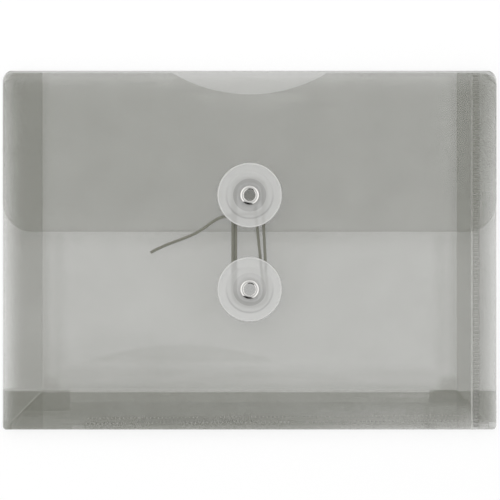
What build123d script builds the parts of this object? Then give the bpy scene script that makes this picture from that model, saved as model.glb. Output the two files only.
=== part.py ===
from build123d import *
from math import acos, asin, atan2, cos, hypot, pi, radians, sin, tan
import os

os.makedirs("parts", exist_ok=True)

# A string tie envelope of translucent plastic film, closed, tied and lying on its back.
# X runs along the flap fold, Y from the bottom fold to the flap fold, Z up out of the front.
# The body is one folded film, cut into its flat leaves at the creases. Lengths are in millimetres.

# Envelope body
envelope_width = 190.5
envelope_height = 138.5
film = 0.3
pocket_gap = 6.2
gusset_half_width = 15.6
crease_relief = 0.1
mitre_clearance = 0.2
top_corner = 4.0
bottom_corner = 2.7
mouth_setback = 0.5

# Thumb notch in the front panel's mouth
notch_width = 60.0
notch_depth = 8.3

# Side seam: the right gusset's lip laps onto the front panel
seam_strip_width = 9.4
seam_weld_width = 2.9
seam_joggle_run = 0.4

# Bottom seam tab and the corner tucks inside the pocket
lap_film = 0.25
tab_length = 137.2
tab_start = 1.7
tab_height = 10.6
tuck_length = 10.4
tuck_height = 8.2

# Flap
flap_length = 62.2
flap_corner = 11.6
flap_clearance = 1.0
spine_split = 4.0

# Buttons
button_drop = 48.05
button_spacing = 36.3
disc_diameter = 24.9
disc_thickness = 0.9
disc_edge = 0.25
hub_radius = 4.6
hub_height = 3.7
washer_diameter = 18.0
washer_thickness = 0.35
eyelet_barrel_radius = 2.5
eyelet_hole_radius = 2.1
eyelet_clearance = 0.1
eyelet_flange_radius = 3.75
eyelet_flange_thickness = 0.4
eyelet_flange_edge = 0.25
eyelet_mouth_edge = 0.12
clinch_radius = 3.5
clinch_thickness = 0.25
button_float = 0.05

# String
string_diameter = 1.0
string_clearance = 0.3
string_lay = 0.08
turn_step = 1.2
turn_rise = 0.96
last_turn_rise = 1.64
string_turns = 2
turn_arc_share = 0.95
start_angle = 75
start_gap = 0.1
tail_arc_share = 0.45
winding_end_share = 0.6

# Levels and lines that the pieces share
half_width = envelope_width / 2
top_line = envelope_height / 2
bottom_line = -envelope_height / 2
fold_line = top_line - film
mouth_line = fold_line - mouth_setback
front_base = film + pocket_gap
front_top = front_base + film
flap_base = front_top + flap_clearance
flap_top = flap_base + film
flap_edge = top_line - flap_length
seam_edge = half_width - seam_strip_width
front_right_edge = seam_edge + seam_weld_width
flap_button_y = top_line - button_drop
front_button_y = flap_button_y - button_spacing
eyelet_bore = eyelet_barrel_radius + eyelet_clearance

# The gusset leaves lean inwards at the angle that makes two of them as tall as the pocket
gusset_reach = hypot(2 * gusset_half_width, 2 * film)
gusset_angle = asin(pocket_gap / gusset_reach) - atan2(film, gusset_half_width)
lean_run = cos(gusset_angle)
lean_rise = sin(gusset_angle)
leaf_start = crease_relief
leaf_end = gusset_half_width - crease_relief
gusset_middle = Plane.XY.offset(film + pocket_gap / 2)
left_leaf = Plane(
    origin=(-half_width, 0, film), x_dir=(lean_run, 0, lean_rise), z_dir=(-lean_rise, 0, lean_run)
)
bottom_leaf = Plane(
    origin=(0, bottom_line, film), x_dir=(0, lean_run, lean_rise), z_dir=(0, -lean_rise, lean_run)
)

# Back panel, which lies on the table
with BuildPart() as back_panel:
    with BuildSketch() as back_outline:
        with Locations((0, (fold_line + bottom_line) / 2)):
            Rectangle(envelope_width, fold_line - bottom_line)
        fillet(back_outline.vertices().group_by(Axis.Y)[-1], radius=top_corner)
        fillet(back_outline.vertices().group_by(Axis.Y)[0], radius=bottom_corner)
    extrude(amount=film)
back_panel.part.label = "back_panel"
export_step(back_panel.part, "parts/back_panel.step")

# Front panel, with the thumb notch in its mouth and the hole of its button
notch_radius = (notch_width**2 / 4 + notch_depth**2) / (2 * notch_depth)
with BuildPart() as front_panel:
    with BuildSketch(Plane.XY.offset(front_base)) as front_outline:
        with BuildLine():
            Polyline(
                (-half_width, bottom_line),
                (front_right_edge, bottom_line),
                (front_right_edge, mouth_line),
                (-half_width, mouth_line),
                close=True,
            )
        make_face()
        left_corners = front_outline.vertices().group_by(Axis.X)[0].sort_by(Axis.Y)
        fillet(left_corners[-1], radius=top_corner)
        fillet(front_outline.vertices().group_by(Axis.Y)[0].sort_by(Axis.X)[0], radius=bottom_corner)
        with Locations((0, mouth_line - notch_depth + notch_radius)):
            Circle(notch_radius, mode=Mode.SUBTRACT)
        with Locations((0, front_button_y)):
            Circle(eyelet_bore, mode=Mode.SUBTRACT)
    extrude(amount=film)
front_panel.part.label = "front_panel"
export_step(front_panel.part, "parts/front_panel.step")

# Side gussets: each has a rear leaf on the back panel's crease and a front leaf that mirrors it
with BuildPart() as left_gusset_rear:
    with BuildSketch(left_leaf):
        with BuildLine():
            Polyline(
                (leaf_start, bottom_line + bottom_corner),
                (bottom_corner, bottom_line + bottom_corner * lean_run + mitre_clearance),
                (leaf_end, bottom_line + leaf_end * lean_run + mitre_clearance),
                (leaf_end, mouth_line),
                (top_corner, mouth_line),
                (leaf_start, mouth_line - top_corner),
                close=True,
            )
        make_face()
    extrude(amount=film)
left_gusset_rear.part.label = "left_gusset_rear"
export_step(left_gusset_rear.part, "parts/left_gusset_rear.step")

with BuildPart() as left_gusset_front:
    mirror(left_gusset_rear.part, about=gusset_middle)
left_gusset_front.part.label = "left_gusset_front"
export_step(left_gusset_front.part, "parts/left_gusset_front.step")

with BuildPart() as right_gusset_rear:
    mirror(left_gusset_rear.part, about=Plane.YZ)
right_gusset_rear.part.label = "right_gusset_rear"
export_step(right_gusset_rear.part, "parts/right_gusset_rear.step")

with BuildPart() as right_gusset_front:
    mirror(right_gusset_rear.part, about=gusset_middle)
right_gusset_front.part.label = "right_gusset_front"
export_step(right_gusset_front.part, "parts/right_gusset_front.step")

# Bottom gusset, mitred to the side gussets at both ends
leaf_start_half = half_width - bottom_corner
leaf_corner_half = half_width - bottom_corner * lean_run - mitre_clearance
leaf_end_half = half_width - leaf_end * lean_run - mitre_clearance
with BuildPart() as bottom_gusset_rear:
    with BuildSketch(bottom_leaf):
        with BuildLine():
            Polyline(
                (leaf_start, -leaf_start_half),
                (bottom_corner, -leaf_corner_half),
                (leaf_end, -leaf_end_half),
                (leaf_end, leaf_end_half),
                (bottom_corner, leaf_corner_half),
                (leaf_start, leaf_start_half),
                close=True,
            )
        make_face()
    extrude(amount=film)
bottom_gusset_rear.part.label = "bottom_gusset_rear"
export_step(bottom_gusset_rear.part, "parts/bottom_gusset_rear.step")

with BuildPart() as bottom_gusset_front:
    mirror(bottom_gusset_rear.part, about=gusset_middle)
bottom_gusset_front.part.label = "bottom_gusset_front"
export_step(bottom_gusset_front.part, "parts/bottom_gusset_front.step")

# Corner tucks: the spare film of each lower corner, folded flat against the bottom gusset
tuck_start = leaf_end - tuck_height
tuck_start_half = half_width - tuck_start * lean_run - mitre_clearance
tuck_inner = leaf_end_half - tuck_length
with BuildPart() as left_corner_tuck:
    with BuildSketch(bottom_leaf):
        with BuildLine():
            Polyline(
                (tuck_start, tuck_inner),
                (leaf_end, tuck_inner),
                (leaf_end, leaf_end_half),
                (tuck_start, tuck_start_half),
                close=True,
            )
        make_face()
    extrude(amount=-lap_film)
left_corner_tuck.part.label = "left_corner_tuck"
export_step(left_corner_tuck.part, "parts/left_corner_tuck.step")

with BuildPart() as right_corner_tuck:
    mirror(left_corner_tuck.part, about=Plane.YZ)
right_corner_tuck.part.label = "right_corner_tuck"
export_step(right_corner_tuck.part, "parts/right_corner_tuck.step")

# Side seam strip: it steps up from the right crease onto the front panel and is welded there
step_foot = front_right_edge + crease_relief
with BuildPart() as side_seam_strip:
    with BuildSketch(Plane.XZ.offset(-mouth_line)):
        with BuildLine():
            Polyline(
                (seam_edge, front_top),
                (step_foot, front_top),
                (step_foot + seam_joggle_run, front_base),
                (half_width, front_base),
                (half_width, front_top),
                (step_foot + seam_joggle_run * 3 / 2, front_top),
                (step_foot + seam_joggle_run / 2, front_top + film),
                (seam_edge, front_top + film),
                close=True,
            )
        make_face()
    extrude(amount=mouth_line - bottom_line)
    strip_corners = side_seam_strip.edges().filter_by(Axis.Z).group_by(Axis.X)[-1].sort_by(Axis.Y)
    fillet(strip_corners[-1], radius=top_corner)
    strip_corners = side_seam_strip.edges().filter_by(Axis.Z).group_by(Axis.X)[-1].sort_by(Axis.Y)
    fillet(strip_corners[0], radius=bottom_corner)
side_seam_strip.part.label = "side_seam_strip"
export_step(side_seam_strip.part, "parts/side_seam_strip.step")

# Bottom seam tab: the bottom gusset's lip, welded to the front panel's inner face
with BuildPart() as bottom_seam_tab:
    with BuildSketch(Plane.XY.offset(front_base)):
        with Locations((0, bottom_line + (tab_start + tab_height) / 2)):
            Rectangle(tab_length, tab_height - tab_start)
    extrude(amount=-lap_film)
bottom_seam_tab.part.label = "bottom_seam_tab"
export_step(bottom_seam_tab.part, "parts/bottom_seam_tab.step")

# Flap: a spine on the back panel's top crease, the strip that holds the fold, and the flap itself
spine_length = envelope_width - 2 * top_corner
with BuildPart() as flap_spine:
    with BuildSketch(Plane.XZ.offset(-fold_line)):
        with Locations((0, (film + crease_relief + spine_split) / 2)):
            Rectangle(spine_length, spine_split - film - crease_relief)
    extrude(amount=-film)
flap_spine.part.label = "flap_spine"
export_step(flap_spine.part, "parts/flap_spine.step")

strip_base = spine_split + crease_relief
strip_top = flap_base - crease_relief
with BuildPart() as flap_fold_strip:
    with BuildSketch(Plane.XZ.offset(-fold_line)):
        with Locations((0, (strip_base + strip_top) / 2)):
            Rectangle(spine_length, strip_top - strip_base)
    extrude(amount=-film)
flap_fold_strip.part.label = "flap_fold_strip"
export_step(flap_fold_strip.part, "parts/flap_fold_strip.step")

flap_start = fold_line - crease_relief
with BuildPart() as flap_panel:
    with BuildSketch(Plane.XY.offset(flap_base)) as flap_outline:
        with Locations((0, (flap_start + flap_edge) / 2)):
            Rectangle(envelope_width, flap_start - flap_edge)
        fillet(flap_outline.vertices().group_by(Axis.Y)[-1], radius=top_corner)
        fillet(flap_outline.vertices().group_by(Axis.Y)[0], radius=flap_corner)
        with Locations((0, flap_button_y)):
            Circle(eyelet_bore, mode=Mode.SUBTRACT)
    extrude(amount=film)
flap_panel.part.label = "flap_panel"
export_step(flap_panel.part, "parts/flap_panel.step")

# Two like buttons: a disc on a hub above the film, a washer below it, and an eyelet through all
for side, button_y, film_top in (
    ("flap", flap_button_y, flap_top),
    ("front", front_button_y, front_top),
):
    hub_base = film_top + button_float
    disc_base = hub_base + hub_height
    flange_base = disc_base + disc_thickness
    flange_top = flange_base + eyelet_flange_thickness
    washer_top = film_top - film - button_float
    clinch_top = washer_top - washer_thickness
    clinch_base = clinch_top - clinch_thickness

    with BuildPart() as hub:
        with BuildSketch(Plane.XY.offset(hub_base)):
            with Locations((0, button_y)):
                Circle(hub_radius)
                Circle(eyelet_bore, mode=Mode.SUBTRACT)
        extrude(amount=hub_height)
    hub.part.label = f"{side}_button_hub"
    export_step(hub.part, f"parts/{side}_button_hub.step")

    with BuildPart() as disc:
        with BuildSketch(Plane.XY.offset(disc_base)):
            with Locations((0, button_y)):
                Circle(disc_diameter / 2)
                Circle(eyelet_bore, mode=Mode.SUBTRACT)
        extrude(amount=disc_thickness)
        rims = disc.edges().filter_by(GeomType.CIRCLE).sort_by(SortBy.RADIUS)[-2:]
        fillet(rims, radius=disc_edge)
    disc.part.label = f"{side}_button_disc"
    export_step(disc.part, f"parts/{side}_button_disc.step")

    with BuildPart() as washer:
        with BuildSketch(Plane.XY.offset(washer_top)):
            with Locations((0, button_y)):
                Circle(washer_diameter / 2)
                Circle(eyelet_bore, mode=Mode.SUBTRACT)
        extrude(amount=-washer_thickness)
    washer.part.label = f"{side}_backing_washer"
    export_step(washer.part, f"parts/{side}_backing_washer.step")

    with BuildPart() as eyelet:
        with BuildSketch(Plane.XZ.offset(-button_y)) as eyelet_section:
            with BuildLine():
                Polyline(
                    (eyelet_hole_radius, clinch_base),
                    (clinch_radius, clinch_base),
                    (clinch_radius, clinch_top),
                    (eyelet_barrel_radius, clinch_top),
                    (eyelet_barrel_radius, flange_base),
                    (eyelet_flange_radius, flange_base),
                    (eyelet_flange_radius, flange_top),
                    (eyelet_hole_radius, flange_top),
                    close=True,
                )
            make_face()
            flange_corners = eyelet_section.vertices().group_by(Axis.Z)[-1].sort_by(Axis.X)
            fillet(flange_corners[-1], radius=eyelet_flange_edge)
            mouth_corner = eyelet_section.vertices().group_by(Axis.Z)[-1].sort_by(Axis.X)[0]
            fillet(mouth_corner, radius=eyelet_mouth_edge)
        revolve(axis=Axis((0, button_y, 0), (0, 0, 1)))
    eyelet.part.label = f"{side}_button_eyelet"
    export_step(eyelet.part, f"parts/{side}_button_eyelet.step")


def arc_radius(before, at, after, tangent):
    """Radius of the arc that rounds a corner and starts the given distance before it."""
    turn = (Vector(*at) - Vector(*before)).get_angle(Vector(*after) - Vector(*at))
    return tangent / tan(radians(turn) / 2)


# String: fast to the flap's hub, wound twice round both hubs, last round the flap's hub and off.
# Each turn lies outside and above the one before it.
string_radius = string_diameter / 2
inner_turn = hub_radius + string_clearance + string_radius
first_level = flap_top + string_lay + string_radius
start_reach = hub_radius + start_gap
start_x = start_reach * cos(radians(start_angle))
start_y = flap_button_y - start_reach * sin(radians(start_angle))
route = [(start_x, start_y, first_level)]
tangents = []
for turn in range(string_turns):
    reach = inner_turn + turn * turn_step
    from_x = route[-1][0]
    from_y = route[-1][1] - front_button_y
    lean = atan2(from_y, from_x) - acos(reach / hypot(from_x, from_y))
    right_reach = reach * tan(pi / 4 + lean / 2)
    front_level = first_level + turn * turn_rise
    flap_level = first_level + turn * last_turn_rise
    route += [
        (right_reach, front_button_y - reach, front_level),
        (-reach, front_button_y - reach, front_level),
        (-reach, flap_button_y + reach, flap_level),
        (reach, flap_button_y + reach, flap_level),
    ]
    tangents += [offset_x * turn_arc_share for offset_x in (right_reach, reach, reach, reach)]
route.append((reach, flap_button_y - reach, flap_level))
tangents.append(reach * turn_arc_share)

# The tail's points, chosen by hand: over the turns, off the disc, over the flap's edge and down
tail_points = [
    (-6.6, 13.6, 11.50),
    (-12.6, 12.2, 9.30),
    (-20.2, 7.2, 8.78),
    (-32.5, 1.9, 7.50),
    (-38.3, -0.95, 7.42),
]
tail_start = Vector(*route[-1]) + (Vector(*tail_points[0]) - Vector(*route[-1])) * winding_end_share
route.append(tuple(tail_start))
winding_radii = [
    arc_radius(route[i - 1], route[i], route[i + 1], tangents[i - 1])
    for i in range(1, len(route) - 1)
]
with BuildPart() as string_winding:
    with BuildLine() as winding_line:
        FilletPolyline(*route, radius=winding_radii)
    winding_wire = winding_line.wires()[0]
    with BuildSketch(Plane(origin=winding_wire @ 0, z_dir=winding_wire % 0)):
        Circle(string_radius)
    sweep(path=winding_wire)
string_winding.part.label = "string_winding"
export_step(string_winding.part, "parts/string_winding.step")

tail_route = [tuple(tail_start)] + tail_points
tail_radii = []
for before, at, after in zip(tail_route, tail_route[1:], tail_route[2:]):
    shorter = min((Vector(*at) - Vector(*before)).length, (Vector(*after) - Vector(*at)).length)
    tail_radii.append(arc_radius(before, at, after, shorter * tail_arc_share))
with BuildPart() as string_tail:
    with BuildLine() as tail_line:
        FilletPolyline(*tail_route, radius=tail_radii)
    tail_wire = tail_line.wires()[0]
    with BuildSketch(Plane(origin=tail_wire @ 0, z_dir=tail_wire % 0)):
        Circle(string_radius)
    sweep(path=tail_wire)
string_tail.part.label = "string_tail"
export_step(string_tail.part, "parts/string_tail.step")

# What the string measures: its radii, its length, its solids and the least gap between its turns
print("winding radii", [round(r, 2) for r in winding_radii])
print("tail radii", [round(r, 2) for r in tail_radii])
print("string length", round(winding_wire.length + tail_wire.length, 1))
string_section = pi * string_radius**2
print("winding volume over section times length",
      round(string_winding.part.volume / (string_section * winding_wire.length), 4))
print("tail volume over section times length",
      round(string_tail.part.volume / (string_section * tail_wire.length), 4))
steps = round(winding_wire.length / (string_diameter / 4))
marks = [winding_wire @ (i / steps) for i in range(steps + 1)]
apart = round(3 * pi * string_diameter / (string_diameter / 4))
least = min(
    (marks[i] - marks[j]).length
    for i in range(len(marks))
    for j in range(i + apart, len(marks))
)
print("least gap between turns", round(least - string_diameter, 3))
hub_gap = min(
    hypot(mark.X, mark.Y - hub_y) - hub_radius - string_radius
    for mark in marks[apart:]
    for hub_y in (flap_button_y, front_button_y)
)
print("least gap to a hub", round(hub_gap, 3))
print("gusset angle in degrees", round(gusset_angle * 180 / pi, 4))
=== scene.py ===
# %% [markdown]
# # A string tie envelope in smoke-grey film
# The real object is one die-cut sheet of translucent film, folded, welded and tied shut with a string
# round two buttons. The imported CAD model is the fixed frame of this scene. Every piece below sits in
# that frame, in metres, and most ride on one of its bodies, so that the flap, gussets and buttons still move.

# %% The frame
from math import atan2, cos, degrees, hypot, pi, radians, sin, sqrt

import bmesh
import bpy
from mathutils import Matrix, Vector


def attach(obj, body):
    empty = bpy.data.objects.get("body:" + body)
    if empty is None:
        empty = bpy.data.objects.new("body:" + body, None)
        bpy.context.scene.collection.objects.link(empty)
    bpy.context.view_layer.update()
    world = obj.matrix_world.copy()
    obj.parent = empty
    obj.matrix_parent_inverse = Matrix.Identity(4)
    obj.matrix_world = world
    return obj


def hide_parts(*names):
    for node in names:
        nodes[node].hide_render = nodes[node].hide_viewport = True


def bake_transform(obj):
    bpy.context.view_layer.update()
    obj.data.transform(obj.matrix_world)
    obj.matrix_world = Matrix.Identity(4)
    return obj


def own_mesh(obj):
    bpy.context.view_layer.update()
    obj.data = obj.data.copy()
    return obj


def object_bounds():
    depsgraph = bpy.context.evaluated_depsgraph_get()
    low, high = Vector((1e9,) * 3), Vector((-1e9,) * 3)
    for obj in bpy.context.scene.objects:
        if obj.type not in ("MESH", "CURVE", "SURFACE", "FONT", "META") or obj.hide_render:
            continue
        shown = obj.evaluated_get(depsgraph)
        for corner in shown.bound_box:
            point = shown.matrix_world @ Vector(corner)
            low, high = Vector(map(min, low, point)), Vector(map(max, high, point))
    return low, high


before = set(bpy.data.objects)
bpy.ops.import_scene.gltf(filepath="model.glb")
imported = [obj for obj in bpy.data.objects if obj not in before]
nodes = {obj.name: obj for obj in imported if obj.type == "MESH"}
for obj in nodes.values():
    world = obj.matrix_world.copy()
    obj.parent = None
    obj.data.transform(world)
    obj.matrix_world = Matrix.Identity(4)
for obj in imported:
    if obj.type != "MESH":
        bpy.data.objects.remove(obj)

cad_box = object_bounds()
scene = bpy.context.scene
MM = 0.001

# %% [markdown]
# ## Camera
# The photograph looks straight down on the flat-lying envelope from far away, so its sides show no
# perspective. A long lens gives that and still works for other views, which an orthographic camera
# wouldn't. The distance follows from the scale of the picture: 2.59 pixels to a millimetre at the front film.

# %% Camera
PHOTO_SIDE, PIXELS_PER_MM = 500, 2.592
AIM_X, AIM_Y = 0.13, 0.06
LENS, SENSOR = 600.0, 36.0
FRONT_FILM_LEVEL = 7.0
distance = PHOTO_SIDE / PIXELS_PER_MM * LENS / SENSOR
camera_data = bpy.data.cameras.new("camera")
camera_data.lens, camera_data.sensor_width = LENS, SENSOR
camera_data.clip_start, camera_data.clip_end = 0.1, 20.0
camera = bpy.data.objects.new("camera", camera_data)
camera.location = (AIM_X * MM, AIM_Y * MM, (distance + FRONT_FILM_LEVEL) * MM)
scene.collection.objects.link(camera)
scene.camera = camera
print("camera at", round(camera.location.z, 3), "m")

# %% [markdown]
# ## Line of the string
# The string is fast at the flap's hub, goes twice round both hubs and leaves the flap's hub as a loose
# tail. Its line is one NURBS curve whose control points are the points of the CAD route, some moved a
# little to follow the photograph. On each long straight strand a point stands about 6 mm from the hub's
# centre, so that the curve keeps to the strand and turns only at the hub.

# %% Line of the string
string_points = [
    (2.07, 16.66, 8.68), (4.72, -9.1, 8.68),
    (6.0, -20.5, 8.68), (-5.4, -20.5, 8.68),
    (-5.4, -9.1, 8.68), (-5.4, 15.2, 8.68),
    (-5.4, 26.6, 8.68), (5.4, 26.6, 8.68),
    (5.05, 15.2, 8.907), (6.3, -9.1, 8.78),
    (7.2, -21.7, 8.92), (-6.5, -21.7, 8.92),
    (-6.5, -9.1, 8.72), (-6.5, 15.2, 9.6),
    (-6.5, 27.8, 10.32), (6.6, 27.8, 10.32), (6.6, 14.6, 10.32),
    (-1.32, 14.0, 11.028), (-6.6, 13.6, 11.50), (-12.6, 12.4, 9.30),
    (-19.6, 6.9, 8.78), (-27.0, 3.9, 7.55), (-33.8, 1.5, 7.42), (-38.2, -0.94, 7.42),
]
line_data = bpy.data.curves.new("string_line", "CURVE")
line_data.dimensions = "3D"
line_data.resolution_u = 32
spline = line_data.splines.new("NURBS")
spline.points.add(len(string_points) - 1)
for point, place in zip(spline.points, string_points):
    point.co = (*(v * MM for v in place), 1)
spline.order_u = 3
spline.use_endpoint_u = True
line_object = bpy.data.objects.new("string_line", line_data)
line_mesh = bpy.data.meshes.new_from_object(line_object)
string_line = [v.co.copy() for v in line_mesh.vertices]
bpy.data.meshes.remove(line_mesh)
bpy.data.objects.remove(line_object)

# %% [markdown]
# ## Shader maths
# A finish is easier to read as a formula than as a web of nodes. This class holds one socket of a node
# tree. Sums on it add Math nodes, and its node method adds any other node with its settings and sockets.


# %% Shader maths
class Wire:
    """A socket of a material's tree, on which sums can be written. Without a socket it is the tree."""

    def __init__(self, tree, socket=None):
        self.tree, self.socket = tree, socket

    def node(self, kind, settings=None, sockets=None, output=0):
        made = self.tree.nodes.new(kind)
        for name, value in (settings or {}).items():
            setattr(made, name, value)
        for name, value in (sockets or {}).items():
            if isinstance(value, Wire):
                self.tree.links.new(value.socket, made.inputs[name])
            else:
                made.inputs[name].default_value = value
        return Wire(self.tree, made.outputs[output])

    def maths(self, operation, *values):
        return self.node("ShaderNodeMath", {"operation": operation}, dict(enumerate(values)))

    def __add__(self, other):
        return self.maths("ADD", self, other)

    def __sub__(self, other):
        return self.maths("SUBTRACT", self, other)

    def __rsub__(self, other):
        return self.maths("SUBTRACT", other, self)

    def __mul__(self, other):
        return self.maths("MULTIPLY", self, other)

    def __truediv__(self, other):
        return self.maths("DIVIDE", self, other)

    def __pow__(self, other):
        return self.maths("POWER", self, other)

    __radd__, __rmul__ = __add__, __mul__

    def size(self):
        return self.maths("ABSOLUTE", self)

    def greater(self, other):
        return self.maths("MAXIMUM", self, other)

    def rise(self, low, high):
        """0 below low, 1 above high, and a smooth step between them."""
        return self.node("ShaderNodeMapRange", {"interpolation_type": "SMOOTHSTEP"},
                         {"Value": self, "From Min": low, "From Max": high})

    def band(self, middle, half):
        """1 at the middle, falling smoothly to 0 at half the width on each side."""
        return 1 - (self - middle).size().rise(0, half)

    def tint(self, first, second):
        """A colour that goes from the first to the second as this value goes from 0 to 1."""
        return self.node("ShaderNodeMix", {"data_type": "RGBA"}, {0: self, 6: first, 7: second}, 2)

    def noise(self, scale, detail=2.0):
        return self.node("ShaderNodeTexNoise", None, {"Vector": self, "Scale": scale, "Detail": detail})


def new_finish(name):
    """A material with an empty tree: its wire, and its surface shader to be filled in."""
    material = bpy.data.materials.new(name)
    material.use_nodes = True
    shader = material.node_tree.nodes["Principled BSDF"]
    return material, Wire(material.node_tree), shader


def fill(shader, **sockets):
    """Sets or links the surface shader's sockets. Underscores stand for spaces."""
    for name, value in sockets.items():
        socket = shader.inputs[name.replace("_", " ")]
        if isinstance(value, Wire):
            value.tree.links.new(value.socket, socket)
        else:
            socket.default_value = value


def place_of(wire):
    """The Object coordinates, and their X and Y in millimetres."""
    place = wire.node("ShaderNodeTexCoord", output="Object")
    split = [wire.node("ShaderNodeSeparateXYZ", None, {0: place}, axis) * 1000 for axis in "XY"]
    return place, *split


print("shader maths ready")

# %% [markdown]
# ## Smoke-grey film
# The film is polypropylene, 0.3 mm thick, translucent and satin. What makes it look like film is how it
# layers: each leaf takes some of the light, so two leaves are lighter than four. Alpha on both faces of every
# leaf gives that, and it also survives the export. Near the folded edges each finish gets a painted
# highlight, paler and clearer, where light gets in, and it can take pale lines. Fine grain goes to the bump
# and a slow mottle to the alpha.

# %% Smoke-grey film
HALF_WIDTH, TOP_LINE = (round(v / MM, 2) for v in cad_box[1][:2])
BOTTOM_LINE = -TOP_LINE
INNER_X, INNER_Y = 79.96, -53.96
CUT_X, CUT_Y = 92.1, -66.3
MITRE = INNER_X + INNER_Y
FLAP_EDGE = 7.05
FLAP_BUTTON_Y, FRONT_BUTTON_Y = 21.2, -15.1
# Reach of the painted shade that darkens the film behind the eyelets' holes.
EYELET_SHADE_OUTER, EYELET_SHADE_INNER = 2.7, 1.6
MOUTH, NOTCH_WIDTH, NOTCH_DEPTH = 68.45, 60.0, 8.3
NOTCH_RADIUS = (NOTCH_WIDTH**2 / 4 + NOTCH_DEPTH**2) / (2 * NOTCH_DEPTH)
NOTCH_MIDDLE = MOUTH - NOTCH_DEPTH + NOTCH_RADIUS
SMOKE = (0.158, 0.163, 0.108, 1)
PALE_HIGHLIGHT_AND_SCORE = (0.80, 0.80, 0.77, 1)
FILM_IOR = 1.49
MOTTLE_SCALE, GRAIN_SCALE = 70.0, 1500.0
SIDE_REACH, TOP_REACH, BOTTOM_REACH = 8.5, 13.0, 1.8
SOFT = 0.3


def on_left(x):
    return x.rise(10, -10)


def on_right(x):
    return x.rise(-10, 10)


def over_gusset(x):
    """The two bands at the sides, where the gussets lie below."""
    return x.size().rise(INNER_X - 1, INNER_X + 1)


def low_corner(x, y):
    """The lower corners, where the gussets are cut away and the front is pressed on the back."""
    left, right = x.rise(SOFT - CUT_X, -SOFT - CUT_X), x.rise(CUT_X - SOFT, CUT_X + SOFT)
    return (left + 0.35 * right) * y.rise(CUT_Y + SOFT, CUT_Y - SOFT)


def fade(distance, reach, power):
    """1 at no distance, falling in a curve to 0 at the reach."""
    return (1 - distance / reach).greater(0) ** power


def edge_highlight(x, y, at_sides):
    """Painted highlight, where light gets in between the leaves: most at the sides,
    quickly lost in the lower corners.
    """
    in_corner = y.rise(INNER_Y + 1, INNER_Y - 1)
    sides = fade(HALF_WIDTH - x.size(), SIDE_REACH, 1.75 + 1.5 * in_corner)
    sides = sides * (at_sides - 0.4 * low_corner(x, y)) * (1 - 0.35 * y.rise(45, 66))
    sides = sides * (1 - 0.25 * in_corner * on_left(x))
    top = (0.45 - 0.05 * over_gusset(x)) * fade(TOP_LINE - y, TOP_REACH, 3)
    bottom = (0.22 + 0.33 * x.rise(20, 85)) * fade(y - BOTTOM_LINE, BOTTOM_REACH, 2)
    return sides.greater(top).greater(bottom)


def film_finish(name, cover, shade=None, pale=None, at_sides=1.0):
    """Film that covers so much of what is behind each face, with a painted highlight near its edges.
    Shade adds cover and pale whitens, by place.
    """
    material, wire, shader = new_finish(name)
    place, x, y = place_of(wire)
    edge = edge_highlight(x, y, at_sides(y) if callable(at_sides) else at_sides)
    mottle = place.noise(MOTTLE_SCALE, 3.0) - 0.5
    grain = place.noise(GRAIN_SCALE)
    alpha = cover * (1 + 0.16 * mottle)
    if shade is not None:
        alpha = alpha + shade(x, y)
    # Painted highlight near the edges: there the film is clearer and its colour paler.
    alpha = alpha * (1 - 0.40 * edge)
    painted_highlight_and_scores = 0.65 * edge
    if pale is not None:
        painted_highlight_and_scores = painted_highlight_and_scores.greater(pale(x, y))
        alpha = alpha + 0.2 * pale(x, y)
    bump = wire.node("ShaderNodeBump", None, {"Strength": 0.05, "Distance": 0.00003, "Height": grain})
    fill(shader, Base_Color=painted_highlight_and_scores.tint(SMOKE, PALE_HIGHLIGHT_AND_SCORE), Alpha=alpha,
         Roughness=0.30 + 0.06 * grain, Normal=bump, IOR=FILM_IOR)
    return material


def radius_from(x, y, centre_y):
    """How far a place is from a point on the middle line, in millimetres."""
    squares = x * x + (y - centre_y) * (y - centre_y)
    return squares.maths("SQRT", squares)


print("film maker ready")

# %% [markdown]
# ## Shades of the leaves
# No leaf is even. A shade adds cover to one leaf, or takes some away, at places in millimetres. Some of
# that stands for film folded below or cut away, and much of it is painted shade, shadow and highlight.


# %% Shades of the back, the front and the flap
def back_shade(x, y):
    """Painted shade on the back towards the folds of the gussets, and under the front's eyelet."""
    outside = (x.size() - INNER_X).greater(INNER_Y - y)
    # Painted shade towards the inner folds of the gussets, reaching further in below the flap.
    below_flap = 0.03 * outside.rise(-10.0, 0) + 0.02 * outside.band(-6.5, 4.5)
    fold_shade = 0.04 * outside.rise(-4.0, 0) + below_flap * y.rise(FLAP_EDGE + 2, FLAP_EDGE - 2)
    # Painted shade on the back under the front's eyelet, which darkens its hole.
    painted_eyelet_shade = 0.12 * radius_from(x, y, FRONT_BUTTON_Y).rise(EYELET_SHADE_OUTER, EYELET_SHADE_INNER)
    in_notch = 0.035 * x.size().rise(34, 24) * y.rise(59.5, 61.5)
    return fold_shade + painted_eyelet_shade + in_notch + 0.13 * low_corner(x, y)


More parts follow.
